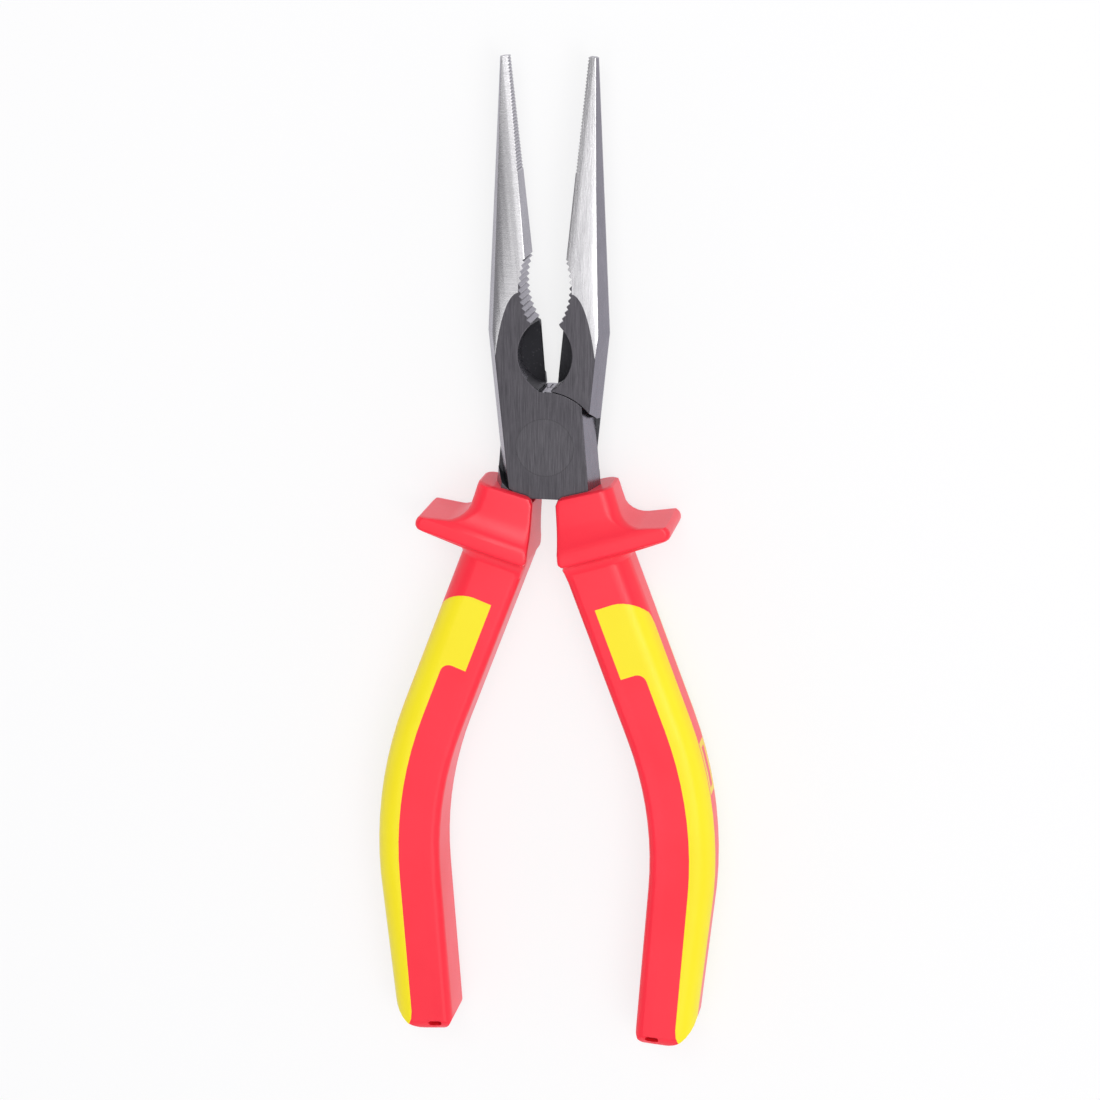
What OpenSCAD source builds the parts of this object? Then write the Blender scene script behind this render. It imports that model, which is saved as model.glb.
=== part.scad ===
// Needle nose pliers, 200 mm size, with insulated two-colour handles.
// The tool lies flat: jaws towards +Y, front face up (+Z), pivot axis on Z.
// The origin is on the pivot axis in the flat back face of the joint.
// Each half is drawn closed, with its jaw on the left, its cheek in front and
// its tang on the right. The back half is the same forging turned over.

/* [Joint] */
// Thickness of the joint, front face to back face
joint_t = 9.5; // [9:0.5:11]
// Width of the head across the joint, closed
head_w = 19.4; // [19:0.2:21]
// Radius of the round cheek about the pivot
cheek_r = 11.15; // [11:0.05:11.6]
// Pivot to the flat lower end of a cheek
cheek_foot = 10.4; // [10.2:0.1:10.8]
// Pivot to the square foot of a jaw's outer corner, above the other's cheek
corner_foot = 6.5; // [6:0.1:7.4]
// Gap between a cheek's shoulder and the step it turns against
shoulder_gap = 0.12; // [0.08:0.02:0.3]
// Gap between the two cheeks' inner faces
cheek_gap = 0.04; // [0.02:0.01:0.1]
// Diameter of the rivet's flush heads
rivet_d = 11.6; // [10:0.2:12.4]
// Diameter of the rivet's shaft
rivet_shaft_d = 8; // [7:0.5:9]
// Thickness of one rivet head
rivet_head_t = 2; // [1.5:0.25:2.5]
// Gap round the cheek that turns in the other half's collar
collar_gap = 0.35; // [0.25:0.05:0.5]
// Gap between that cheek's face and the collar's lip in front of it
lip_gap = 0.1; // [0.05:0.05:0.3]
// Running clearance round the rivet in the half that turns on it
run_clear = 0.03; // [0.02:0.01:0.08]
// Opening of each half from closed, as drawn, in degrees
half_open = 5.8; // [3:0.1:9]

/* [Jaws] */
// Pivot to the tip of the nose
nose_l = 76.2; // [68:0.2:82]
// Width of one jaw at its tip
tip_w = 1.85; // [1.5:0.05:2.5]
// Thickness of the nose at its tip
tip_t = 2.6; // [2:0.2:3.6]
// Pivot to where the nose starts to thin
taper_y = 31; // [29:0.5:33]
// Pivot to the widest point of the head
shoulder_y = 23.5; // [20:0.5:25]
// Gap left between the closed gripping faces at the tip, each side
grip_gap = 0.03; // [0.02:0.01:0.1]
// Daylight between the closed faces at the lower end of the flat, each side
grip_hollow = 0.25; // [0.1:0.05:0.4]
// Pivot to the lower end of the flat gripping face
flat_end_y = 37.4; // [36.5:0.1:38.5]
// Length of the finely toothed part of the gripping face
fine_l = 22; // [16:1:28]
// Number of fine teeth
fine_n = 34; // [20:1:40]
// Depth of the fine teeth
fine_d = 0.25; // [0.15:0.05:0.35]
// Pivot to the lower end of the round grip
grip_end_y = 24.3; // [23.9:0.1:24.8]
// Depth of the round grip in each jaw
grip_depth = 2.1; // [1.2:0.05:2.3]
// Number of coarse teeth in the round grip
coarse_n = 11; // [8:1:13]
// Depth of the coarse teeth
coarse_d = 0.55; // [0.3:0.05:0.7]

/* [Cutter] */
// Radius of the round relief in front of the cutting edges
relief_r = 7.9; // [7:0.1:8.5]
// Depth of the relief into each jaw
relief_d = 3.55; // [3:0.05:3.9]
// Pivot to the middle of the cutting edges
cutter_y = 18.1; // [17.8:0.1:18.4]
// Depth of the narrower relief behind the cutting edges
back_relief_d = 1.6; // [1.2:0.1:2]
// Height of the cutting edges above the joint's back face
edge_z = 1.5; // [1:0.25:3]
// Slope of the front cutting bevel, in degrees from the joint's face
bevel_angle = 48; // [40:1:55]

/* [Handles] */
// Width of the grip, square to its run
handle_w = 13.2; // [12.8:0.1:14.6]
// Thickness of the grip, front to back
handle_t = 13; // [12.5:0.5:15]
// Rounding of the grip's outer edges
outer_round = 4.2; // [3:0.1:5]
// Rounding of the grip's inner edges
inner_round = 1.8; // [1:0.1:2.5]
// Spread of the straight neck from the closed centre line, in degrees
neck_angle = 14.9; // [13:0.1:16]
// Length of the straight neck
neck_l = 36; // [32:1:42]
// Radius of the grip's bend along its middle
bend_r = 80; // [70:2:100]
// Return of the straight end towards the centre line, in degrees
end_angle = 10; // [8:0.5:14]
// Length of the straight end
end_l = 34; // [28:0.1:38]
// Narrowing of the straight end, on its outer side
end_narrow = 1.2; // [0:0.1:2]
// Rounding of the end's outer corner, seen from the front
end_outer_r = 8; // [5:0.5:9]
// Rounding of the end's inner corner, seen from the front
end_inner_r = 3.4; // [2.6:0.2:4]
// Rounding of the end's front and back edges
end_face_r = 3; // [2.6:0.2:4]
// Depth to which the inlays and pads are let into the jacket
skin_t = 1.5; // [1.2:0.1:1.7]
// Cover of the jacket over the hard core
cover_t = 2.4; // [2.3:0.1:2.6]
// Wall of the hard core round the tang
core_wall = 1.2; // [0.8:0.1:1.4]
// Distance from the end of the core to the end of the handle
core_stop = 6; // [5.5:0.5:9]
// Distance from the end of the tang to the end of the handle
tang_stop = 18; // [14:1:26]
// Length of the small slot near each end
slot_l = 2.8; // [2:0.2:3.6]
// Width of the slot
slot_w = 1.1; // [0.8:0.1:1.4]
// Depth of the slot
slot_d = 3.5; // [2:0.25:4]
// Middle of the slot, measured in from the middle of the grip
slot_u = 3; // [2:0.2:3.6]
// Middle of the slot above the end of the handle
slot_up = 1.8; // [1.6:0.1:3]

/* [Inlays] */
// Inner edge of the coloured stripe, measured out from the middle of the grip
stripe_u = 1.7; // [0.5:0.1:2.5]
// Inner edge of the window and of the pads, measured in from the middle
window_u = 3.1; // [2.5:0.1:3.8]
// Start of the window along the neck
window_top = 8.5; // [6:0.5:9]
// Length of the window
window_l = 15; // [12:0.5:16]
// Height above mid thickness at which the stripe ends on the outer side
stripe_z = 2.75; // [2.5:0.25:4]
// Length of the plain badge ring on the outer side
badge_l = 11; // [8:0.5:14]
// Height of the badge ring, front to back
badge_h = 4.8; // [3.6:0.2:5]
// Width of the badge ring's band
badge_band = 1.2; // [0.8:0.1:1.4]
// Depth of the badge ring in the jacket
badge_d = 0.9; // [0.6:0.1:1.2]

/* [Guard] */
// Reach of the finger guard's wing from the middle of the neck
wing_u = 16.9; // [16:0.1:19]
// Half thickness of the guard across its lip
lip_z = 8.6; // [8.2:0.2:10]
// Height of the lip's band, from its lower edge to its crest
lip_t = 2.9; // [2.4:0.1:3.4]
// Height of the collar above the lower edge of the lip
collar_l = 13.3; // [12.6:0.1:14]
// Half thickness of the collar at its top edge
collar_z = 6.3; // [6:0.1:6.8]
// Outer side of the collar beyond the grip's outer side
collar_out = 1.6; // [1.2:0.1:1.8]
// Radius of the hollow between the wing and the collar, seen from the front
flare_r = 4.2; // [3.6:0.2:4.6]
// Length of the hollow flare from the neck up to the lip's lower edge
under_l = 3; // [2:0.5:4]
// Spread of that flare at the lip, to the sides and to the faces
under_u = 2; // [1:0.1:2.4]
// Lean of the lip's edges, as fall for each millimetre outwards
lip_lean = 0.055; // [0:0.005:0.08]
// Lean of the collar's top edge, given in the same way
collar_lean = 0.1; // [0.04:0.01:0.12]

/* [Hidden] */
$fn = 96;
e = 0.01;
mid = joint_t / 2;
bend = neck_angle + end_angle;
big = 300;
// Side bevel of the head: run inwards for each millimetre of height
flank_k = 0.38;
flank_flat = 0.35;
side_x = head_w / 2;
// Where the shank's side starts to lean in, and its lean in degrees
shank_y = 3;
shank_lean = 1;
// Tilt of the cheek's lower end, in degrees
cheek_tilt = 6;
// Nose taper, in degrees, and the radius of the nose's crowned faces
taper = atan((joint_t - tip_t) / 2 / (nose_l - taper_y));
crown_r = 20;
crown_x = 2;
// Where the neck's run starts on each half: the guard's lower edge
neck_x = 7.95;
neck_y = -24;
// Lower edge of the guard's lip along the neck
lip_v = 1.36;
// Tang section inside the core
tang_w = handle_w - 2 * cover_t - 2 * core_wall;
tang_t = handle_t - 2 * cover_t - 2 * core_wall;

// ---- curves -------------------------------------------------------------
function arc(x, y, r, a0, a1, n) =
    [for (i = [0:n]) let (a = a0 + (a1 - a0) * i / n) [x + r * cos(a), y + r * sin(a)]];

// One gripping face: x of the metal's surface at height y, without teeth, and
// the step back from it to the ends of the round grip
bowl_step = 0.3;
function flat_x(y) = -grip_gap - grip_hollow * (nose_l - y) / (nose_l - flat_end_y);
grip_mid = (flat_end_y + grip_end_y) / 2;
grip_half = (flat_end_y - grip_end_y) / 2;
function bowl_x(y) = flat_x(flat_end_y) - bowl_step
    - (grip_depth - coarse_d) * (1 - pow((y - grip_mid) / grip_half, 2));
coarse_p = (flat_end_y - grip_end_y) / coarse_n;
fine_p = fine_l / fine_n;

// ---- one steel half -----------------------------------------------------
// What lies between the jaws: the gripping face with its teeth, and the gap
module gap_plan() {
    polygon(concat(
        [[5, -1], [-grip_gap, -1], [-grip_gap, grip_end_y - 0.4]],
        [for (i = [0:coarse_n - 1]) each [
            [bowl_x(grip_end_y + i * coarse_p), grip_end_y + i * coarse_p],
            [min(-0.1, bowl_x(grip_end_y + (i + 0.45) * coarse_p) + coarse_d),
             grip_end_y + (i + 0.45) * coarse_p]]],
        [[bowl_x(flat_end_y) - 0.25, flat_end_y - 0.25],
         [flat_x(flat_end_y), flat_end_y],
         [flat_x(nose_l - fine_l), nose_l - fine_l]],
        [for (i = [0:fine_n - 1]) each [
            [flat_x(nose_l - fine_l + i * fine_p) - fine_d,
             nose_l - fine_l + (i + 0.3) * fine_p],
            [flat_x(nose_l - fine_l + (i + 1) * fine_p),
             nose_l - fine_l + (i + 0.8) * fine_p]]],
        [[-grip_gap - 0.4, nose_l + 0.1], [-grip_gap - 0.4, nose_l + 2], [5, nose_l + 2]]));
}

// The head's bevelled side, kept to the right of a line that runs up from
// [x, y] at an angle from +Y
module side(x, y, angle) {
    run = flank_k * (mid + 1 - flank_flat);
    translate([x, y, 0]) rotate([0, 0, angle]) rotate([-90, 0, 0])
        linear_extrude(2 * big, center = true)
            polygon([[0, -flank_flat], [0, flank_flat],
                     [run, mid + 1], [big, mid + 1],
                     [big, -mid - 1], [run, -mid - 1]]);
}

// Crowned, tapering face of the nose; a large cylinder leaning to the tip
module crown(s) {
    translate([-crown_x, taper_y, s * mid]) rotate([-s * taper, 0, 0])
        translate([0, 0, -s * crown_r]) rotate([90, 0, 0])
            cylinder(r = crown_r, h = big, center = true);
}

module jaw() {
    nose_lean = -atan((side_x - tip_w) / (nose_l - shoulder_y));
    difference() {
        intersection() {
            translate([-head_w, 0, -mid]) cube([head_w, nose_l, joint_t]);
            side(-side_x, 0, 0);
            side(-side_x, shoulder_y, nose_lean);
            crown(1);
            crown(-1);
        }
        translate([0, 0, -joint_t]) linear_extrude(2 * joint_t) gap_plan();
    }
}

// Round relief and bevels of the cutter, in the frame of one jaw
module relief(s) {
    ez = edge_z - mid;
    rise = tan(bevel_angle);
    translate([0, 0, ez * s]) mirror([0, 0, s > 0 ? 0 : 1]) {
        // front pocket: a round wall that ends on a plane bevel
        intersection() {
            translate([relief_r - relief_d, cutter_y, -e]) cylinder(r = relief_r, h = big);
            translate([0, cutter_y, 0]) rotate([90, 0, 0])
                linear_extrude(4 * relief_r, center = true)
                    polygon([[1, -rise], [-big, big * rise], [-big, big * 2], [1, big * 2]]);
        }
        // back bevel: narrower, up to the back face
        intersection() {
            translate([relief_r - back_relief_d, cutter_y, -big]) cylinder(r = relief_r, h = big);
            translate([0, cutter_y, 0]) rotate([90, 0, 0])
                linear_extrude(4 * relief_r, center = true)
                    polygon([[1, 1], [-big, -big], [-big, -big * 2], [1, -big * 2]]);
        }
    }
}

module shank_side() {
    mirror([1, 0, 0]) side(-side_x, shank_y, shank_lean);
}

// A cheek: round about the pivot, with a flat lower end
module cheek() {
    intersection() {
        translate([0, 0, cheek_gap / 2]) cylinder(r = cheek_r, h = mid - cheek_gap / 2);
        rotate([0, 0, -cheek_tilt]) translate([-big / 2, -cheek_foot, -1]) cube(big);
        side(-side_x, 0, 0);
        shank_side();
    }
}

// The tang's root: bevelled from the cheek down into the collar, then square
root_y = -12;
root_x = 2.2;
module root() {
    neck = [neck_x, neck_y];
    u = [cos(neck_angle), sin(neck_angle)] * tang_w / 2;
    intersection() {
        linear_extrude(joint_t, center = true)
            polygon([[1.6, -9.5], [2.4, -2], [6.5, 2], [side_x + 1, -1],
                     [side_x + 1, root_y], [root_x, root_y]]);
        shank_side();
    }
    linear_extrude(joint_t, center = true)
        polygon([[root_x, root_y + 0.5], [side_x - 2.2, root_y + 0.5], neck + u, neck - u]);
}

// Where the other half's cheek turns, with clearances
module turning_room(round_gap, face_gap) {
    translate([0, 0, -mid - face_gap]) cylinder(r = cheek_r + round_gap, h = mid + face_gap);
}

module half(s) {
    difference() {
        union() {
            jaw();
            cheek();
            root();
            tang();
        }
        translate([0, 0, cheek_gap / 2]) turning_room(shoulder_gap, 1);
        translate([-big, -1, -joint_t]) cube([2 * big, corner_foot + 1, joint_t + cheek_gap / 2]);
        relief(s);
    }
}

// ---- the run of the handle ------------------------------------------------
bend_n = 9;
module at_neck() {
    translate([neck_x, neck_y, 0]) rotate([0, 0, neck_angle]) children();
}
module at_bend() {
    at_neck() translate([-bend_r, -neck_l, 0]) rotate([0, 0, -bend]) children();
}
module at_end() {
    at_bend() translate([bend_r, 0, 0]) children();
}

// Stations [x, y, angle] in the neck's frame: from a along the neck, round
// the bend, and to l along the straight end
function stations(a, l) = concat(
    [[0, -a, 0]],
    [for (i = [0:bend_n]) let (t = bend * i / bend_n)
        [bend_r * cos(t) - bend_r, -neck_l - bend_r * sin(t), -t]],
    [[bend_r * cos(bend) - bend_r - l * sin(bend),
      -neck_l - bend_r * sin(bend) - l * cos(bend), -bend]]);
function beside(s, u) = [s.x + u * cos(s.z), s.y + u * sin(s.z)];

// A slab that follows the run, between two distances from its middle, with its
// outer side brought in over the straight end
module slab(u0, u1, h, a, l, narrow) {
    st = stations(a, l);
    m = len(st);
    at_neck() linear_extrude(2 * h, center = true) polygon(concat(
        [for (s = st) beside(s, u0)],
        [for (i = [m - 1:-1:0]) beside(st[i], u1 - (i == m - 1 ? narrow : 0))]));
}

module tang() {
    slab(-tang_w / 2, tang_w / 2, tang_t / 2, -0.1, end_l - tang_stop, 0);
}

// ---- sections and bodies of the grip --------------------------------------
// Section between an inner and an outer side, with its two roundings
function rounded(x0, x1, z, ri, ro, ni, no) =
    concat(arc(x1 - ro, z - ro, ro, 0, 90, no), arc(x0 + ri, z - ri, ri, 90, 180, ni),
           arc(x0 + ri, ri - z, ri, 180, 270, ni), arc(x1 - ro, ro - z, ro, 270, 360, no));
function section(inset, narrow) =
    rounded(inset - handle_w / 2, handle_w / 2 - narrow - inset, handle_t / 2 - inset,
            max(inner_round - inset, 0.4), max(outer_round - inset, 0.5), 4, 7);

// The grip's section carried along the run, narrowing over the straight end
module carried(inset, a, l) {
    st = stations(a, l);
    m = len(st);
    n = len(section(inset, 0));
    at_neck() polyhedron(
        points = [for (j = [0:m - 1]) each
            [for (q = section(inset, j == m - 1 ? end_narrow : 0))
                let (b = beside(st[j], q.x)) [b.x, b.y, q.y]]],
        faces = concat(
            [[for (i = [0:n - 1]) i]],
            [[for (i = [n - 1:-1:0]) (m - 1) * n + i]],
            [for (j = [0:m - 2]) each [for (i = [0:n - 1]) let (k = (i + 1) % n)
                [j * n + k, j * n + i, (j + 1) * n + i, (j + 1) * n + k]]]));
}

// The two profiles that round the end, seen from the front and from the side.
// Their arcs stop short of the grip's faces and meet them at a slight angle.
end_full = 0.3;
module end_plan(inset) {
    x = handle_w / 2;
    xo = x - end_narrow + end_full;
    y = inset - end_l;
    ro = end_outer_r - inset;
    ri = end_inner_r - inset;
    translate([0, 0, -handle_t]) linear_extrude(2 * handle_t) polygon(concat(
        [[x + 1, big], [x + 1, y + ro + 1]],
        arc(xo - inset - ro, y + ro, ro, -9, -90, 8),
        arc(inset + ri - x, y + ri, ri, -90, -171, 6),
        [[-x - 1, y + ri + 1], [-x - 1, 0], [-big, 0], [-big, big]]));
}
module end_side(inset) {
    y = inset - end_l;
    z = handle_t / 2 - inset;
    rz = end_face_r - inset;
    rotate([90, 0, 90]) linear_extrude(big, center = true) polygon(concat(
        [[big, z + 1], [y + rz + 1, z + 1]], arc(y + rz, z - rz, rz, 99, 180, 7),
        arc(y + rz, rz - z, rz, 180, 261, 7), [[y + rz + 1, -z - 1], [big, -z - 1]]));
}

// Start of the grip, up the neck inside the guard
grip_top = 2.4;
module grip(inset) {
    intersection() {
        carried(inset, -grip_top, end_l + 1);
        at_end() end_plan(inset);
        at_end() end_side(inset);
    }
}

// ---- guard ----------------------------------------------------------------
collar_top = lip_v + collar_l;
crest_v = lip_v + lip_t;
lip_r = 0.9;
// Half thickness at a height along the neck: a flare under the lip, the lip's
// rounded lower edge, and a hollow curve from the lip's crest to the collar
hollow = 3.4;
function guard_z(v) =
    v < lip_v ? handle_t / 2 + under(v) * (lip_z - lip_r - handle_t / 2)
    : v < lip_v + lip_r ? lip_z - lip_r + sqrt(max(0, lip_r * lip_r - pow(lip_r + lip_v - v, 2)))
    : v < crest_v + e ? lip_z
    : collar_z + (lip_z - collar_z) * pow(1 - (v - crest_v) / (collar_top - crest_v), hollow);
// Share of the flare under the lip at a height: it starts just inside the grip
function under(v) = pow(1 - (lip_v - v) / under_l, 2) * 1.06 - 0.06;
// Inner side of the guard: proud of the grip, leaning in up the collar, round
// at the collar's top corner and at the lip's lower corner
guard_proud = 0.12;
collar_taper = 0.3;
corner_l = 1.3;
function guard_in(v) = v < lip_v ? 0.1 - handle_w / 2
    : collar_taper * max(0, v - grip_top) - handle_w / 2 - guard_proud
    + pow(max(0, lip_v + corner_l - v, v - collar_top + corner_l), 2) / (2 * corner_l);
// Fall of the guard's level lines outwards
function guard_lean(v) =
    lip_lean + (collar_lean - lip_lean) * max(0, v - crest_v) / (collar_top - crest_v);

// Outer edge in plan, from the neck up under the lip, round the wing and the
// hollow above it to the collar
tip_r = lip_t / (sin(75) + sin(42));
collar_u = handle_w / 2 + collar_out;
flare_rise = 0.9;
guard_edge = concat(
    [for (d = [1:-0.2:0.2]) [handle_w / 2 + under_u * under(lip_v - d * under_l),
                             lip_v - d * under_l]],
    arc(wing_u - tip_r, lip_v + tip_r * sin(75), tip_r, -75, 42, 5),
    arc(collar_u + flare_r, crest_v + flare_r + flare_rise, flare_r, 255, 180, 5),
    [[collar_u + 0.1, collar_top - 3], [collar_u + 0.2, collar_top - corner_l],
     [collar_u + 0.2, collar_top - 0.4], [collar_u - 0.2, collar_top]]);
// Rounding of the guard's outer edges: as the grip's under the lip, close at
// the wing, and wide up the collar
wing_round = 1.1;
collar_round = 2.8;
function guard_round(q) = q.y < lip_v ? outer_round
    : min(collar_round, wing_round + 0.4 * max(0, q.y - crest_v - 1));
// Chamfer of the collar's top edge
function guard_rim(v) = v < collar_top - 1 ? 0 : v < collar_top - 0.1 ? 0.15 : 0.7;

module guard() {
    m = len(guard_edge);
    rings = [for (j = [m - 1:-1:0])
        let (q = guard_edge[j], rim = guard_rim(q.y))
        [for (g = rounded(guard_in(q.y) + rim, q.x, guard_z(q.y) - rim, 0.9, guard_round(q), 2, 4))
            [g.x, q.y - guard_lean(q.y) * g.x, g.y]]];
    n = len(rings[0]);
    at_neck() polyhedron(
        points = [for (ring = rings) each ring],
        faces = concat(
            [[for (i = [0:n - 1]) i]],
            [[for (i = [n - 1:-1:0]) (m - 1) * n + i]],
            [for (j = [0:m - 2]) each [for (i = [0:n - 1]) let (k = (i + 1) % n) each
                [[j * n + k, j * n + i, (j + 1) * n + i],
                 [j * n + k, (j + 1) * n + i, (j + 1) * n + k]]]]));
}

// ---- zones of the second colour and of the soft pads ------------------------
window_end = window_top + window_l;
// Top of the window: radius and middle of its arch
arch_r = 6.2;
arch_u = 0.5;
// Fillet between the window and the stripe
fillet_r = 1.9;
// The stripe's line turns outwards this far before the end, on a parabola
curl_l = 4.5;
curl = 0.1;
function backwards(l) = [for (i = [len(l) - 1:-1:0]) l[i]];
function last(l) = l[len(l) - 1];
// Line between the stripe and the pad: from the window's fillet down the grip,
// curling outwards over the end of the handle
stripe_line = concat(
    arc(stripe_u - fillet_r, -window_end - fillet_r, fillet_r, 84, 0, 6),
    [for (s = stations(window_end + fillet_r + 1, end_l - curl_l)) beside(s, stripe_u)],
    [for (w = [1.6:1.6:6.4])
        beside(last(stations(0, end_l - curl_l + w)), stripe_u + curl * w * w)]);

// Plan of the window and the stripe below it, as one outline
module inlay_plan() {
    at_neck() polygon(concat(
        [[-window_u, -window_end], [-window_u, -window_top]],
        arc(arch_u, -window_top - arch_r, arch_r, 88, 20, 7),
        [[handle_w, -window_top - 5]],
        [for (s = stations(window_end, end_l + 2)) beside(s, handle_w)],
        backwards(stripe_line)));
}
// Plan of the pad, which fills the face between the stripe and the inner edge
module pad_plan() {
    at_neck() polygon(concat(
        [[-window_u, -window_end]],
        stripe_line,
        [for (s = backwards(stations(window_end + 1, end_l + 2))) beside(s, -window_u)]));
}
module inlay_zone() {
    translate([0, 0, stripe_z]) linear_extrude(handle_t - stripe_z) inlay_plan();
}
module pad_zone() {
    translate([0, 0, stripe_z]) linear_extrude(handle_t - stripe_z) pad_plan();
}
module slot() {
    at_end() translate([-slot_u, slot_up - end_l, handle_t / 2 - slot_d])
        union() {
            for (x = [-1, 1] * (slot_l - slot_w) / 2)
                translate([x, 0, 0]) cylinder(d = slot_w, h = handle_t);
            translate([0, 0, handle_t / 2])
                cube([slot_l - slot_w, slot_w, handle_t], center = true);
        }
}
// The badge's ring lies on the outer side, at a share of the way round the bend
badge_share = 0.7;
module badge_zone() {
    hole = [badge_l, badge_h] - [1, 1] * 2 * badge_band;
    at_bend() rotate([0, 0, bend * badge_share])
        translate([bend_r + handle_w / 2 - badge_d, 0, 0])
            rotate([90, 0, 90]) linear_extrude(5) difference() {
                square([badge_l, badge_h], center = true);
                square(hole, center = true);
            }
}
module both_faces() {
    children();
    mirror([0, 0, 1]) children();
}

// ---- handle pieces, in the frame of the half they sit on --------------------
// The core before the tang is let in, from a start along the neck
module core_block(start) {
    u = handle_w / 2 - cover_t;
    slab(-u, u, handle_t / 2 - cover_t, start, end_l - core_stop,
         end_narrow * (end_l - core_stop) / (end_l + 1));
}
module core() {
    difference() {
        core_block(0.2);
        tang();
    }
}
module front_inlay() {
    difference() {
        intersection() {
            grip(0);
            inlay_zone();
        }
        grip(skin_t);
    }
}
module front_pad() {
    difference() {
        intersection() {
            grip(0);
            pad_zone();
        }
        grip(skin_t);
        slot();
    }
}
module side_badge() {
    intersection() {
        grip(0);
        badge_zone();
    }
}
module jacket() {
    difference() {
        union() {
            guard();
            difference() {
                grip(0);
                both_faces() {
                    inlay_zone();
                    pad_zone();
                }
                badge_zone();
            }
            grip(skin_t);
        }
        root();
        cheek();
        turning_room(collar_gap, lip_gap);
        core_block(-0.1);
        both_faces() slot();
    }
}

module rivet(gap) {
    r = rivet_d / 2 + gap;
    translate([0, 0, -mid]) cylinder(r = r, h = rivet_head_t + gap);
    translate([0, 0, -mid]) cylinder(d = rivet_shaft_d + 2 * gap, h = joint_t);
    translate([0, 0, mid - rivet_head_t - gap]) cylinder(r = r, h = rivet_head_t + gap);
}

// ---- the two halves in place ------------------------------------------------
module front() {
    translate([0, 0, mid]) rotate([0, 0, half_open]) children();
}
module back() {
    translate([0, 0, mid]) rotate([0, 0, -half_open]) rotate([0, 180, 0]) children();
}
module steel() {
    color([0.62, 0.62, 0.64]) children();
}
module red() {
    color([0.93, 0.13, 0.2]) children();
}
module yellow() {
    color([0.97, 0.87, 0.13]) children();
}

module front_half() {
    steel() front() difference() {
        half(1);
        rivet(0);
    }
}
module back_half() {
    steel() back() difference() {
        half(-1);
        rivet(run_clear);
    }
}
module pivot_rivet() {
    steel() front() rivet(0);
}
module right_core() yellow() front() core();
module left_core() yellow() back() core();
module right_jacket() red() front() jacket();
module left_jacket() red() back() jacket();
module right_front_inlay() yellow() front() front_inlay();
module right_back_inlay() yellow() front() mirror([0, 0, 1]) front_inlay();
module left_front_inlay() yellow() back() mirror([0, 0, 1]) front_inlay();
module left_back_inlay() yellow() back() front_inlay();
module right_front_pad() red() front() front_pad();
module right_back_pad() red() front() mirror([0, 0, 1]) front_pad();
module left_front_pad() red() back() mirror([0, 0, 1]) front_pad();
module left_back_pad() red() back() front_pad();
module right_side_badge() yellow() front() side_badge();
module left_side_badge() yellow() back() side_badge();

front_half();
back_half();
pivot_rivet();
left_core();
left_jacket();
left_front_inlay();
left_back_inlay();
left_front_pad();
left_back_pad();
left_side_badge();
right_core();
right_jacket();
right_front_inlay();
right_back_inlay();
right_front_pad();
right_back_pad();
right_side_badge();
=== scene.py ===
import math

import bmesh
import bpy
from mathutils import Euler, Matrix, Vector


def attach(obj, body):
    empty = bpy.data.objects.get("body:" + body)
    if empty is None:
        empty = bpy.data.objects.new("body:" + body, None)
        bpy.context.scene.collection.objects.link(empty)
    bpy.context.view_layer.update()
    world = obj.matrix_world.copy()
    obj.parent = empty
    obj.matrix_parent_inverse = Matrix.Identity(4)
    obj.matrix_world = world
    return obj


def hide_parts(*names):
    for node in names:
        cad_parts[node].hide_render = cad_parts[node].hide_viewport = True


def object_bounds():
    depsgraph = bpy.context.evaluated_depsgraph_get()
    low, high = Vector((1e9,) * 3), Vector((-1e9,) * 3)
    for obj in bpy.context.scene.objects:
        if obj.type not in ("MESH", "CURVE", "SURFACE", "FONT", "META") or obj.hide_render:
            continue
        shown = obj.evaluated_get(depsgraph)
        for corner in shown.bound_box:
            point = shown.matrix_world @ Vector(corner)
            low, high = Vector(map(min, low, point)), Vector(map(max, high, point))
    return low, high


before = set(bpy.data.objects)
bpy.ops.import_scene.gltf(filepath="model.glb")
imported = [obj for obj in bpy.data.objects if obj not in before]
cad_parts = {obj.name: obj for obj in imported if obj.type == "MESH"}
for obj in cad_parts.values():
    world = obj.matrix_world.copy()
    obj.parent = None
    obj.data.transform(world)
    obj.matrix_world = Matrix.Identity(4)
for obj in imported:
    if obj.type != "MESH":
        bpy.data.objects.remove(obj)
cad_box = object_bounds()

# ---------------------------------------------------------------------------
# The two steel halves. Each is one forging in tool steel: jaw, cheek and tang
# in a piece. The joint's faces are ground flat, the nose is ground bright, and
# the cutter's relief keeps its black hardening scale. The joint's faces and the
# sides are painted darker than the steel as painted shade, the step under the
# cheek is painted black as painted shade, and the teeth's faces that look back
# to the joint carry painted shade.
# ---------------------------------------------------------------------------
MM = 0.001
MID_Z = 4.75 * MM                           # where the two cheeks meet
FACES_Z = (0.0, 9.5 * MM)                   # the joint's back and front faces
EDGE_BREAK = 0.11 * MM                      # an edge after a light stoning
EDGE_TURN = 0.5                             # an edge is sharp past this, in radians
SHORTEST_EDGE = 0.8 * MM                    # shorter ones, as on the teeth, stay
MERGE = 2e-6                                # two corners this close are one
ONE_FACE = 0.006                            # facets within this turn are one face
HALF_CREASE = 28                            # degrees
NOSE_Y = 20 * MM                            # the nose starts above this
CUTTER_Y, CUTTER_R = 18.1 * MM, 8.2 * MM    # the cutter's round relief
CUTTER_OVAL = 0.55                          # its width over its height
CHEEK_R, POCKET_R = 11.15 * MM, 11.27 * MM  # the round cheek, and the pocket it turns in
RIVET_R = 5.8 * MM

# the joint faces are painted darker than the bright steel: painted shade
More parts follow.
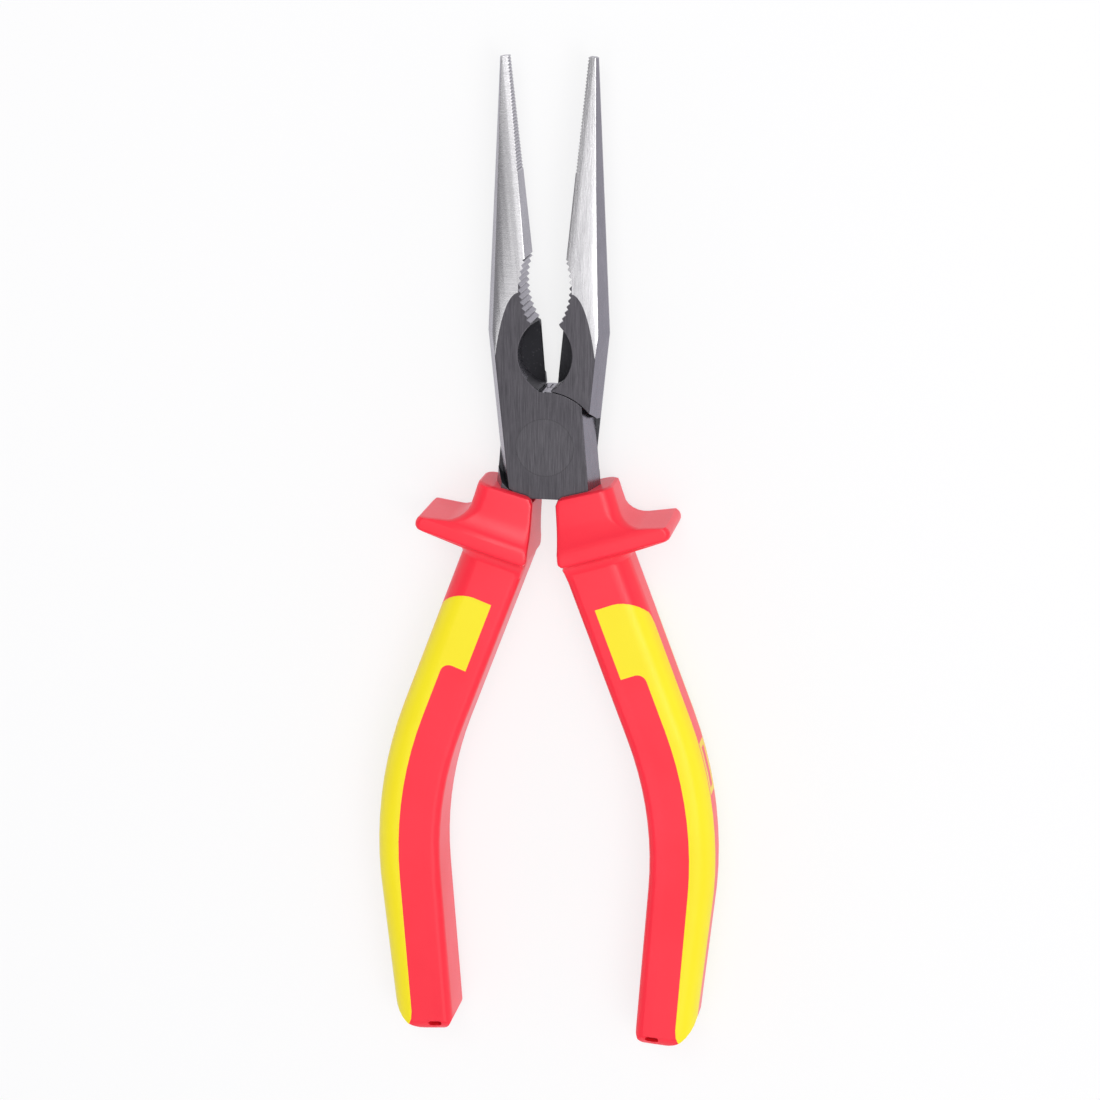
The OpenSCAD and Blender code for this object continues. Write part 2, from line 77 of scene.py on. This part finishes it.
STEEL_SHADED_FACES = (0.126, 0.119, 0.132)          # the ground joint faces
STEEL_BRIGHT = (0.635, 0.625, 0.64)         # the ground nose
# the sides are painted darker than the bright steel: painted shade
STEEL_SHADED_SIDES = (0.30, 0.29, 0.325)           # the sides
STEEL_BAND = (0.36, 0.355, 0.375)           # dull bands along the nose
STEEL_WORN = (0.62, 0.61, 0.62)             # rubbed edges
# the relief's black scale, also the painted shade on the step under the cheek
SCALE_AND_SHADE_BLACK = (0.045, 0.045, 0.052)
SCALE_SPECK = (0.22, 0.22, 0.24)
# dark grinding marks, and the painted shade on the teeth's back faces
GRIME_AND_SHADE = (0.02, 0.02, 0.024)

MARKS_ALONG = (5200, 200, 5200)             # grinding marks, per metre each way
MARKS_ACROSS = (200, 4600, 200)
BAND_GRAIN = (1100, 24, 1100)
CLOUD_GRAIN = (160, 160, 160)
FINE_GRAIN = (2600, 2600, 2600)
MARK_DEPTH = 0.04 * MM


class Shade:
    """A socket of a material's nodes. Arithmetic on it adds Math nodes."""

    def __init__(self, tree, socket=None):
        self.tree = tree
        self.socket = socket

    def node(self, kind, settings=None, inputs=None, out=0):
        """A new node: its settings first, then the values or links of its sockets."""
        made = self.tree.nodes.new(kind)
        for name, value in (settings or {}).items():
            if name == "stops":
                ramp = made.color_ramp.elements
                while len(ramp) < len(value):
                    ramp.new(0.5)
                for stop, (position, colour) in zip(ramp, value):
                    stop.position = position
                    stop.color = (*colour, 1)
            else:
                setattr(made, name, value)
        for name, value in (inputs or {}).items():
            if isinstance(value, Shade):
                self.tree.links.new(value.socket, made.inputs[name])
            else:
                made.inputs[name].default_value = value
        return Shade(self.tree, made.outputs[out])

    def math(self, operation, a, b=0.0, clamp=False):
        return self.node("ShaderNodeMath",
                         {"operation": operation, "use_clamp": clamp}, {0: a, 1: b})

    def __add__(self, other):
        return self.math("ADD", self, other)

    def __radd__(self, other):
        return self.math("ADD", other, self)

    def __sub__(self, other):
        return self.math("SUBTRACT", self, other)

    def __rsub__(self, other):
        return self.math("SUBTRACT", other, self)

    def __mul__(self, other):
        return self.math("MULTIPLY", self, other)

    def __rmul__(self, other):
        return self.math("MULTIPLY", other, self)

    def clamp(self):
        return self.math("ADD", self, 0.0, clamp=True)

    def step(self, low, high):
        """0 below low, 1 above high, straight between."""
        return self.node("ShaderNodeMapRange", {"clamp": True},
                         {"Value": self, "From Min": low, "From Max": high})

    def axis(self, letter):
        return self.node("ShaderNodeSeparateXYZ", {}, {0: self}, out=letter)

    def stretch(self, *scale):
        return self.node("ShaderNodeVectorMath", {"operation": "MULTIPLY"},
                         {0: self, 1: scale})

    def grain(self, detail=2.0, rough=0.5):
        """Noise at a point in stretched coordinates."""
        return self.node("ShaderNodeTexNoise", {},
                         {"Vector": self, "Scale": 1.0, "Detail": detail,
                          "Roughness": rough})

    def blend(self, a, b):
        """Colour a where this is 0, colour b where it is 1."""
        colour = [x if isinstance(x, Shade) else (*x, 1) for x in (a, b)]
        return self.node("ShaderNodeMix", {"data_type": "RGBA"},
                         {0: self, 6: colour[0], 7: colour[1]}, out=2)

    def face_mark(self, name):
        """A face attribute of the piece's mesh."""
        return self.node("ShaderNodeAttribute", {"attribute_name": name}, out="Fac")

    def point(self):
        """A point of the piece in metres, which stays with the piece."""
        return self.node("ShaderNodeTexCoord", out="Object")

    def bump(self, strength, depth, height):
        return self.node("ShaderNodeBump", {}, {
            "Strength": strength, "Distance": depth, "Height": height})


def new_material(name):
    """A material with an empty shader, and a Shade to build on."""
    material = bpy.data.materials.new(name)
    material.use_nodes = True
    shader = material.node_tree.nodes["Principled BSDF"]
    return material, shader, Shade(material.node_tree)


def wire(shade, shader, name):
    shade.tree.links.new(shade.socket, shader.inputs[name])


def is_rivet_hole(edge):
    """The hole's rims stay sharp, because the rivet's heads fill them flush."""
    return all(abs(v.co.xy.length - RIVET_R) < 0.1 * MM for v in edge.verts)


def skin_of(node, name, edge_break=0.0):
    """A copy of a solid's mesh as one skin, its outer edges broken and marked."""
    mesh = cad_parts[node].data.copy()
    mesh.name = name
    if "custom_normal" in mesh.attributes:
        mesh.attributes.remove(mesh.attributes["custom_normal"])
    bm = bmesh.new()
    bm.from_mesh(mesh)
    bmesh.ops.remove_doubles(bm, verts=bm.verts, dist=MERGE)
    bmesh.ops.dissolve_limit(bm, angle_limit=ONE_FACE, verts=bm.verts,
                             edges=bm.edges, delimit={"NORMAL"})
    for face in bm.faces:
        face.material_index = 0
        face.smooth = True
    if edge_break:
        edges = [e for e in bm.edges
                 if len(e.link_faces) == 2 and e.is_convex
                 and e.calc_face_angle(0) > EDGE_TURN
                 and e.calc_length() > SHORTEST_EDGE and not is_rivet_hole(e)]
        bmesh.ops.bevel(bm, geom=edges, offset=edge_break, segments=2, profile=0.5,
                        affect="EDGES", clamp_overlap=False, material=1)
    bm.to_mesh(mesh)
    bm.free()
    broken = mesh.attributes.new("edge", "FLOAT", "FACE")
    broken.data.foreach_set("value", [float(p.material_index) for p in mesh.polygons])
    mesh.polygons.foreach_set("material_index", [0] * len(mesh.polygons))
    mesh.materials.clear()
    piece = bpy.data.objects.new(name, mesh)
    bpy.context.scene.collection.objects.link(piece)
    return piece


def smooth_by_angle(piece, degrees):
    """Smooth shading with creases, weighted so that flat faces stay flat."""
    bpy.context.view_layer.objects.active = piece
    piece.select_set(True)
    bpy.ops.object.shade_smooth_by_angle(angle=math.radians(degrees))
    piece.select_set(False)
    weigh = piece.modifiers.new("flat faces", "WEIGHTED_NORMAL")
    weigh.keep_sharp = True
    weigh.weight = 80


def mark_faces(mesh, name, rule):
    """A face attribute from a rule on a face's middle and normal."""
    marks = mesh.attributes.new(name, "FLOAT", "FACE")
    marks.data.foreach_set("value", [float(rule(p.center, p.normal))
                                     for p in mesh.polygons])


def is_flat(middle, normal):
    """The joint's ground faces, with their broken edges."""
    on_face = min(abs(middle.z - z) for z in FACES_Z) < EDGE_BREAK
    return on_face and abs(normal.z) > 0.3


def is_nose(middle, normal):
    """The ground front and back of the nose."""
    return (middle.y > NOSE_Y and abs(normal.z) > 0.8
            and not is_flat(middle, normal))


def is_scale_and_shade(middle, normal):
    """The cutter's relief, which keeps its black hardening scale, and the step under the
    cheek, painted black as painted shade; not the cheek's rim.
    """
    from_pivot = math.hypot(middle.x, middle.y)
    if abs(normal.z) > 0.9:
        return abs(middle.z - MID_Z) < 0.4 * MM and middle.y < NOSE_Y
    in_relief = math.hypot(middle.x / CUTTER_OVAL, middle.y - CUTTER_Y) < CUTTER_R
    on_rim = abs(from_pivot - CHEEK_R) < 0.35 * MM and normal.y > 0.5
    step_wall = abs(from_pivot - POCKET_R) < 0.1 * MM and middle.y < CUTTER_Y
    return (in_relief and not on_rim) or step_wall


def is_tooth_back(middle, normal):
    """The face of a tooth that looks back to the joint, away from the lights, is painted
    darker: painted shade.
    """
    return middle.y > NOSE_Y and abs(normal.z) < 0.5 and normal.y < -0.35


steel, shader, shade = new_material("ground_tool_steel")
point = shade.point()
flat, nose, black, edge, across, grimy = map(
    shade.face_mark, ("flat", "nose", "black", "edge", "across", "grimy"))
marks_along = point.stretch(*MARKS_ALONG).grain(4, 0.65)
marks_across = point.stretch(*MARKS_ACROSS).grain(4, 0.65)
cloud = point.stretch(*CLOUD_GRAIN).grain(4, 0.55)
fine = point.stretch(*FINE_GRAIN).grain(2, 0.6)
bands = point.stretch(*BAND_GRAIN).grain(2, 0.5).step(0.35, 0.7)
marks = (marks_across * across + marks_along * (1 - across)).step(0.3, 0.7)
rubbed = point.axis("Y").step(NOSE_Y, 34 * MM) * 0.7
specks = fine.step(0.64, 0.72)

# painted shade: the joint's faces and the sides get darker copies of the nose's steel
colour = flat.blend(nose.blend(STEEL_SHADED_SIDES, STEEL_BRIGHT), STEEL_SHADED_FACES)
colour = (bands * (nose * (1 - across)) * 0.3).blend(colour, STEEL_BAND)
# black scale in the cutter's relief, and painted shade on the step under the cheek
colour = black.blend(colour, SCALE_AND_SHADE_BLACK)
colour = (edge * rubbed * (1 - black)).blend(colour, STEEL_WORN)
colour = (marks * (0.2 + flat * 0.22) + cloud * 0.2).blend(colour, GRIME_AND_SHADE)
# painted shade on the teeth's faces that look back to the joint
colour = (grimy * 0.75).blend(colour, GRIME_AND_SHADE)
colour = (black * specks * 0.5).blend(colour, SCALE_SPECK)
gloss = 0.26 + flat * 0.18 + black * 0.2
wire(colour, shader, "Base Color")
wire(1 - black * 0.6, shader, "Metallic")
wire(gloss + (marks - 0.5) * 0.1 + (cloud - 0.5) * 0.1, shader, "Roughness")
wire(shade.bump(0.25, MARK_DEPTH, marks * 0.7 + fine * 0.3), shader, "Normal")
shader.inputs["IOR"].default_value = 1.5

for side, body, up in (("front", "front_body", 1), ("back", "back_body", -1)):
    half = skin_of(side + "_half", "forged_half_" + side, EDGE_BREAK)
    mark_faces(half.data, "flat", is_flat)
    mark_faces(half.data, "nose", is_nose)
    mark_faces(half.data, "black", is_scale_and_shade)
    mark_faces(half.data, "grimy", is_tooth_back)
    # each nose is ground across on the side of its own cheek, lengthwise on the other
    mark_faces(half.data, "across", lambda middle, normal:
               is_nose(middle, normal) and normal.z * up > 0)
    half.data.materials.append(steel)
    smooth_by_angle(half, HALF_CREASE)
    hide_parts(side + "_half")
    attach(half, body)

# ---------------------------------------------------------------------------
# The pivot rivet. A steel pin whose two heads are pressed into the cheeks and
# ground flush with them, so only a faint round rim tells it from the faces.
# ---------------------------------------------------------------------------
# the rivet's heads are painted as dark as the joint faces: painted shade
RIVET_STEEL_SHADED = (0.136, 0.129, 0.142)
RIVET_RIM = (0.05, 0.05, 0.052)
RIM_WIDE = 0.25 * MM
RIVET_MARKS = (4200, 190, 4200)
RIVET_CLOUD = (200, 200, 200)
RIVET_CREASE = 35

rivet_steel, shader, shade = new_material("ground_rivet_steel")
point = shade.point()
from_axis = shade.node("ShaderNodeVectorMath", {"operation": "LENGTH"},
                       {0: point.stretch(1, 1, 0)}, out="Value")
rim = from_axis.step(RIVET_R - RIM_WIDE, RIVET_R)
marks = point.stretch(*RIVET_MARKS).grain(4, 0.65).step(0.3, 0.7)
cloud = point.stretch(*RIVET_CLOUD).grain(3, 0.5)
colour = (marks * 0.42 + cloud * 0.2).blend(RIVET_STEEL_SHADED, GRIME_AND_SHADE)
wire((rim * 0.5).blend(colour, RIVET_RIM), shader, "Base Color")
wire(0.42 + (marks - 0.5) * 0.1, shader, "Roughness")
wire(shade.bump(0.25, MARK_DEPTH, marks), shader, "Normal")
shader.inputs["Metallic"].default_value = 1.0

rivet = skin_of("pivot_rivet", "pivot_rivet_pin")
rivet.data.materials.append(rivet_steel)
smooth_by_angle(rivet, RIVET_CREASE)
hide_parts("pivot_rivet")
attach(rivet, "front_body")

# ---------------------------------------------------------------------------
# The insulated handles. A hard yellow core is moulded on each tang, and a red
# jacket with its finger guard over that, in tough satin plastic.
# ---------------------------------------------------------------------------
RED = (0.96, 0.026, 0.052)
RED_DEEP = (0.88, 0.016, 0.036)
YELLOW = (0.90, 0.775, 0.010)
YELLOW_WARM = (0.90, 0.72, 0.006)
MOULD_CLOUD = (60, 60, 60)
MOULD_SKIN = (5200, 5200, 5200)
MOULD_WAVES = (420, 420, 420)
SKIN_DEPTH = 0.05 * MM
HANDLE_CREASE = 34
HANDLES = (("left", "back_body"), ("right", "front_body"))


def moulded(name, colour_a, colour_b, rough, peel, detail=None):
    """Moulded plastic: a faint cloudy colour, a fine matt skin, soft waviness."""
    material, shader, shade = new_material(name)
    point = shade.point()
    cloud = point.stretch(*MOULD_CLOUD).grain(3, 0.5).step(0.3, 0.7)
    skin = point.stretch(*MOULD_SKIN).grain(2, 0.7)
    waves = point.stretch(*MOULD_WAVES).grain(2, 0.5)
    colour = (cloud * 0.5).blend(colour_a, colour_b)
    wire(detail(point, colour) if detail else colour, shader, "Base Color")
    wire(rough + (skin - 0.5) * 0.16 + (cloud - 0.5) * 0.05, shader, "Roughness")
    wire(shade.bump(peel, SKIN_DEPTH, skin * 0.6 + waves * 0.4), shader, "Normal")
    shader.inputs["IOR"].default_value = 1.47
    shader.inputs["Specular IOR Level"].default_value = 0.45
    return material


def fit_to_handle(node, name, material, body):
    """A moulded piece in its solid's place, on its own half."""
    piece = skin_of(node, name)
    piece.data.materials.append(material)
    smooth_by_angle(piece, HANDLE_CREASE)
    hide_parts(node)
    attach(piece, body)


red_plastic = moulded("red_jacket_plastic", RED, RED_DEEP, 0.33, 0.2)
core_plastic = moulded("yellow_core_plastic", YELLOW_WARM, YELLOW, 0.35, 0.15)

for side, body in HANDLES:
    fit_to_handle(side + "_jacket", side + "_handle_jacket", red_plastic,
                  body)
    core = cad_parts[side + "_core"]
    core.data.materials.clear()
    core.data.materials.append(core_plastic)

# ---------------------------------------------------------------------------
# The yellow window and stripe on each face of a handle, and the plain ring on
# its outer side. They are a second shot of plastic, flush with the red.
# ---------------------------------------------------------------------------
NECK_TURN = math.radians(14.9 + 5.8)        # the neck's lean, and the half's opening
NECK_AT = (10.334 * MM, -23.07 * MM)        # where the neck's frame starts
WINDOW_TOP = 8.5 * MM                       # down the neck from there
HALF_THICK = 6.5 * MM
CORNER_ROUND = 7.9 * MM                     # the corner turns from here outward
CORNER_WIDE = 2.6 * MM
CORNER_LOW, CORNER_TALL = 9.5 * MM, 6.2 * MM
CORNER_LINE = 0.1 * MM
YELLOW_EDGE_SHADED = (0.95, 0.60, 0.008)


def window_corner(point, colour):
    """The window's outer top corner is round. Toward the outer edge the yellow is painted
    warmer and darker: painted shade and painted reflection of the red where the surface
    rounds over, with the red also showing through the thin yellow there.
    """
    x, y, z = map(point.axis, "XYZ")
    x = point.math("ABSOLUTE", x) - NECK_AT[0]
    y = y - NECK_AT[1]
    outward = x * math.cos(NECK_TURN) + y * math.sin(NECK_TURN)
    down = x * math.sin(NECK_TURN) - y * math.cos(NECK_TURN) - WINDOW_TOP
    round_edge = outward + HALF_THICK - point.math("ABSOLUTE", z - MID_Z)
    turn = ((round_edge - CORNER_ROUND) * (1 / CORNER_WIDE)).clamp()
    limit = CORNER_LOW - CORNER_TALL * point.math("SQRT", 1 - turn * turn)
    thin_and_shaded = round_edge.step(HALF_THICK + 0.2 * MM, HALF_THICK + 3.8 * MM)
    # painted shade and reflection over the outer edge's rounding, and red through the thin
    # yellow
    colour = (thin_and_shaded * 0.55).blend(colour, YELLOW_EDGE_SHADED)
    above = (limit - down).step(0, 0.8 * CORNER_LINE)
    near = (down + 2 * MM).step(0, CORNER_LINE)
    return (above * near * turn.step(0, 0.02)).blend(colour, RED)


yellow_plastic = moulded("yellow_inlay_plastic", YELLOW, YELLOW_WARM, 0.38, 0.2,
                         window_corner)

for side, body in HANDLES:
    for form in ("_front_inlay", "_back_inlay", "_side_badge"):
        fit_to_handle(side + form, side + form + "_shot", yellow_plastic,
                      body)

# ---------------------------------------------------------------------------
# The soft pads between the stripe and the inner edge of each handle. They are
# red rubber, a third shot, with a slightly duller skin than the jacket.
# ---------------------------------------------------------------------------
PAD_RED = (0.96, 0.030, 0.055)

pad_rubber = moulded("red_pad_rubber", PAD_RED, RED_DEEP, 0.50, 0.3)

for side, body in HANDLES:
    for form in ("_front_pad", "_back_pad"):
        fit_to_handle(side + form, side + form + "_shot", pad_rubber, body)

# ---------------------------------------------------------------------------
# The stage: a white table under the tool, two soft lights above it, and a room
# that is bright at the table's level and darker overhead. The camera looks
# down at the tool's front face, a little from the right and the jaws' end.
# ---------------------------------------------------------------------------
FLOOR_HALF = 3.0
FLOOR_WHITE = (0.9, 0.9, 0.9)
FLOOR_SEEN = (1, 1, 1)
FLOOR_MIRRORED = (0.98, 0.965, 1.03)
FLOOR_GLOW = 0.72                           # the rest of the floor takes the shadow
ROOM = ((0.0, (0.98, 0.97, 1.0)), (0.3, (0.92, 0.91, 0.97)),
        (0.52, (0.40, 0.39, 0.42)), (1.0, (0.31, 0.31, 0.32)))
SOFTBOXES = (                               # name, width, length, place, watts
    ("overhead_softbox", 1.14, 1.0, (0.24, -0.08, 0.9), 4.5),
    ("strip_softbox", 1.14, 0.2, (0.2, 0.2, 0.92), 3.3))
SIDE_TURN = math.radians(10.2)
LOOK_DOWN = math.radians(14.7)
ROLL = math.radians(0.1)
DISTANCE = 0.6
RIGHT_SHIFT, UP_SHIFT = 0.00025, -0.0212
VIEW_WIDTH = 1.1 / 5.063                    # metres across the view at the joint
SENSOR = 36.0

floor_mesh = bpy.data.meshes.new("white_table")
corners = [(-FLOOR_HALF, -FLOOR_HALF), (FLOOR_HALF, -FLOOR_HALF),
           (FLOOR_HALF, FLOOR_HALF), (-FLOOR_HALF, FLOOR_HALF)]
floor_mesh.from_pydata([(x, y, cad_box[0][2]) for x, y in corners], [], [(0, 1, 2, 3)])
floor = bpy.data.objects.new("white_table", floor_mesh)
bpy.context.scene.collection.objects.link(floor)

table_white, shader, shade = new_material("white_table_top")
shader.inputs["Base Color"].default_value = (*FLOOR_WHITE, 1)
shader.inputs["Roughness"].default_value = 0.8
shader.inputs["Specular IOR Level"].default_value = 0.0
seen, mirrored, through = (
    shade.node("ShaderNodeLightPath", out=ray)
    for ray in ("Is Camera Ray", "Is Glossy Ray", "Is Transmission Ray"))
glow = shade.node("ShaderNodeEmission", {}, {
    "Color": mirrored.blend(FLOOR_SEEN, FLOOR_MIRRORED), "Strength": 1.0})
share = shade.math("MAXIMUM", shade.math("MAXIMUM", seen, mirrored), through)
top = shade.node("ShaderNodeMixShader", {}, {
    0: share * FLOOR_GLOW, 1: Shade(shade.tree, shader.outputs[0]), 2: glow})
wire(top, table_white.node_tree.nodes["Material Output"], "Surface")
floor_mesh.materials.append(table_white)

room = bpy.data.worlds.new("studio")
bpy.context.scene.world = room
room.use_nodes = True
shade = Shade(room.node_tree)
height = shade.node("ShaderNodeTexCoord", out="Generated").axis("Z")
walls = shade.node("ShaderNodeValToRGB", {"stops": ROOM}, {"Fac": height})
background = room.node_tree.nodes["Background"]
wire(walls, background, "Color")
background.inputs["Strength"].default_value = 1.0

for name, width, length, where, watts in SOFTBOXES:
    lamp_data = bpy.data.lights.new(name, "AREA")
    lamp_data.shape = "RECTANGLE"
    lamp_data.size, lamp_data.size_y = width, length
    lamp_data.energy = watts
    lamp = bpy.data.objects.new(name, lamp_data)
    lamp.location = where
    lamp.rotation_euler = Vector(where).to_track_quat("Z", "Y").to_euler()
    bpy.context.scene.collection.objects.link(lamp)

turn = Euler((-LOOK_DOWN, SIDE_TURN, 0)).to_matrix()
right, up, back = (turn.col[i].copy() for i in range(3))
camera_data = bpy.data.cameras.new("front_view")
camera_data.sensor_width = SENSOR
camera_data.lens = SENSOR * DISTANCE / VIEW_WIDTH
camera_data.clip_start = 0.01
camera = bpy.data.objects.new("front_view", camera_data)
bpy.context.scene.collection.objects.link(camera)
camera.location = (back * DISTANCE + right * RIGHT_SHIFT + up * UP_SHIFT
                   + Vector((0, 0, MID_Z)))
camera.rotation_euler = (turn @ Matrix.Rotation(ROLL, 3, "Z")).to_euler()
bpy.context.scene.camera = camera
bpy.context.scene.view_settings.view_transform = "Standard"
